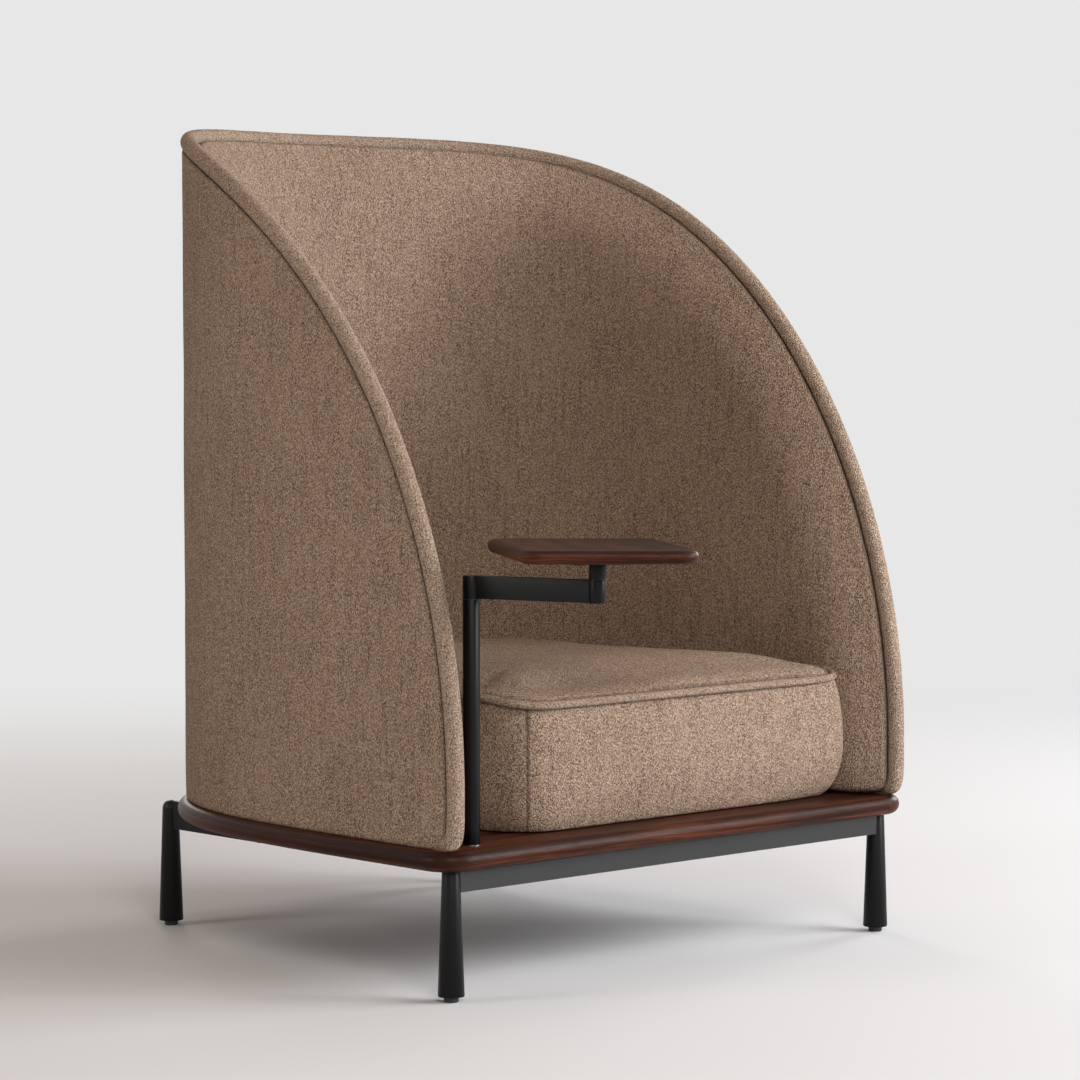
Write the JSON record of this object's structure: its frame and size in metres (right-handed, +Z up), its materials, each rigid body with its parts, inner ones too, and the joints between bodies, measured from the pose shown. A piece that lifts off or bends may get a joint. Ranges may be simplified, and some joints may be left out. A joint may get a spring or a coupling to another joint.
{
  "type": "high back lounge chair",
  "caption": "Lounge chair with a curved upholstered high shell, box cushion, wooden deck on a steel frame and a wooden swivel table",
  "frame": {"origin": "on the floor, under the middle of the bounding box with the table in its rest position", "axes": "+Z up; +Y from the open front to the back of the shell; +X to the right of someone who faces the open front"},
  "size_m": [1.002, 1.2424, 1.2908],
  "materials": {
    "shell_fabric": "tan melange woven upholstery, matt",
    "cushion_fabric": "tan melange woven upholstery, matt",
    "walnut": "dark stained walnut, satin lacquer",
    "powder_coat": "black fine powder coat, satin",
    "plywood": "raw plywood, hidden",
    "black_nylon": "moulded black nylon",
    "zinc_steel": "zinc plated steel"
  },
  "bodies": {
    "chair": {"cushion_base_board": "plywood", "cushion_welt": "cushion_fabric", "deck_screw_1": "zinc_steel", "deck_screw_2": "zinc_steel", "deck_screw_3": "zinc_steel", "deck_screw_4": "zinc_steel", "deck_screw_5": "zinc_steel", "deck_screw_6": "zinc_steel", "deck_screw_7": "zinc_steel", "deck_screw_8": "zinc_steel", "front_crossbar": "powder_coat", "glide_front_left": "black_nylon", "glide_front_right": "black_nylon", "glide_rear_left": "black_nylon", "glide_rear_right": "black_nylon", "leg_front_left": "powder_coat", "leg_front_right": "powder_coat", "leg_rear_left": "powder_coat", "leg_rear_right": "powder_coat", "post_foot_bolt": "zinc_steel", "post_foot_plug": "zinc_steel", "post_foot_washer": "black_nylon", "post_pivot_plug": "zinc_steel", "post_set_screw": "zinc_steel", "rear_crossbar": "powder_coat", "rim_roll": "shell_fabric", "seat_cushion": "cushion_fabric", "seat_deck": "walnut", "shell_bolt_1": "zinc_steel", "shell_bolt_2": "zinc_steel", "shell_bolt_3": "zinc_steel", "shell_bolt_4": "zinc_steel", "shell_bolt_5": "zinc_steel", "shell_bolt_6": "zinc_steel", "shell_core": "plywood", "shell_inner_pad": "shell_fabric", "shell_outer_pad": "shell_fabric", "side_rail_left": "powder_coat", "side_rail_right": "powder_coat", "table_post": "powder_coat"},
    "arm": {"swivel_arm": "powder_coat", "arm_bush": "black_nylon", "arm_set_screw": "zinc_steel", "stub_bush": "black_nylon"},
    "table": {"table_stub": "powder_coat", "stub_set_screw": "zinc_steel", "table_plate": "powder_coat", "table_top": "walnut", "plate_screw_1": "zinc_steel", "plate_screw_2": "zinc_steel", "plate_screw_3": "zinc_steel", "plate_screw_4": "zinc_steel"}
  },
  "joints": [
    {"name": "arm_swivel", "type": "hinge", "parent": "chair", "child": "arm", "pos_m": [-0.404, -0.26677, 0.5784], "axis": [0, 0, 1], "range_deg": [-60, 60]},
    {"name": "table_swivel", "type": "hinge", "parent": "arm", "child": "table", "pos_m": [-0.33758, -0.45965, 0.6127], "axis": [0, 0, 1], "range_deg": [-180, 20]}
  ]
}
